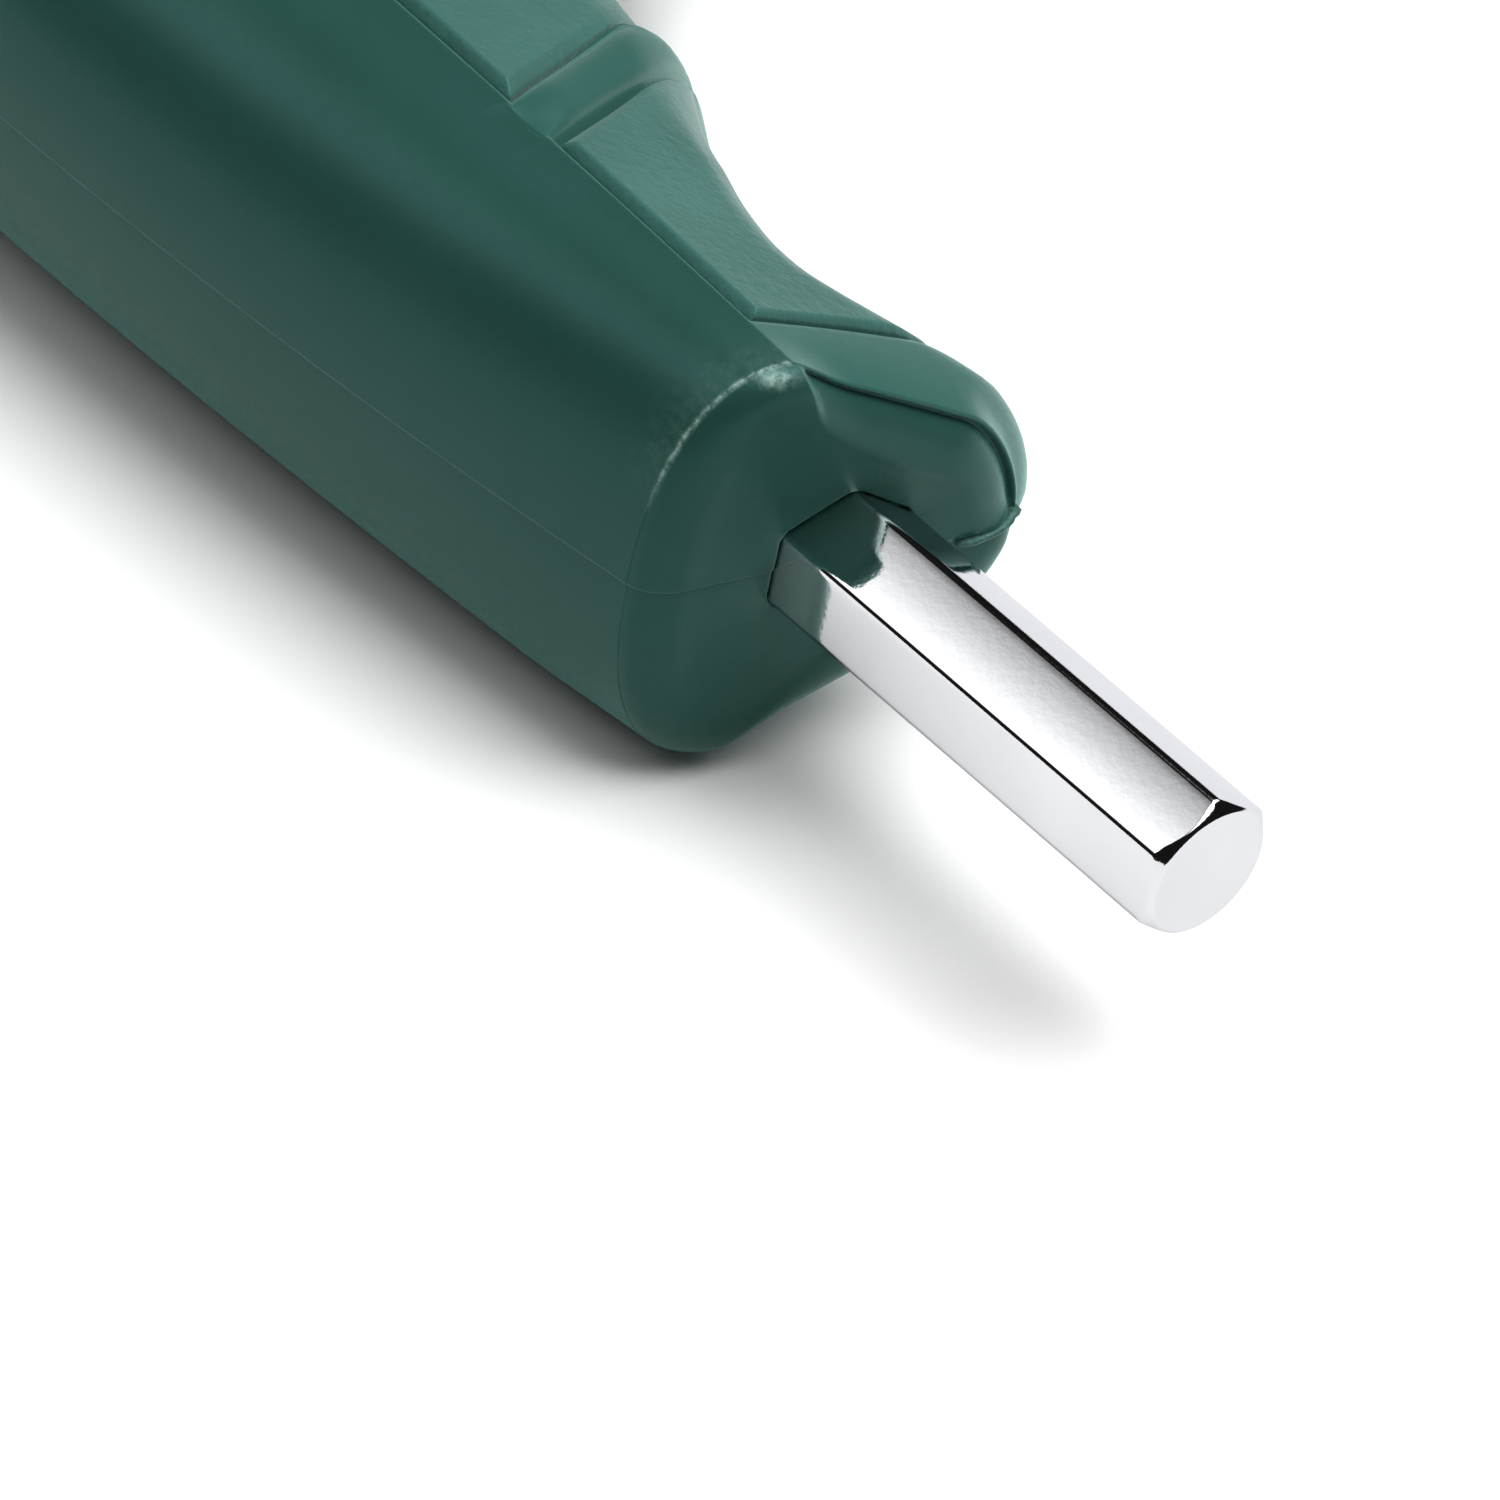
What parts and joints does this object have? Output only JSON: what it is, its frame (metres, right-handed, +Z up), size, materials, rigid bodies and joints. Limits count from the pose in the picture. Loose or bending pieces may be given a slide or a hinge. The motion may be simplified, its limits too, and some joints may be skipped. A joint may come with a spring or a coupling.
{
  "type": "t-handle hex key",
  "caption": "T-handle hex key: a plated hex bar bent into a long driving arm and a short side arm, moulded into a ribbed plastic T grip with inlaid pads.",
  "frame": {"origin": "centre of the underside of the bounding box, with the tool lying on its side", "axes": "+X along the grip towards the short arm's tip, +Y along the long arm to its tip, +Z up through the grip's thickness"},
  "size_m": [0.1152, 0.1906, 0.021],
  "materials": {
    "plated_bar": "bright plated steel, faintly rippled",
    "grip_plastic": "satin dark green moulding with a fine grain",
    "pad_plastic": "soft-touch dark green, matt and grained"
  },
  "bodies": {
    "root": {"hex_key": "plated_bar", "handle_body": "grip_plastic", "centre_pad_upper": "pad_plastic", "stub_end_pad_upper": "pad_plastic", "plain_end_pad_upper": "pad_plastic", "centre_pad_lower": "pad_plastic", "stub_end_pad_lower": "pad_plastic", "plain_end_pad_lower": "pad_plastic"}
  },
  "joints": []
}
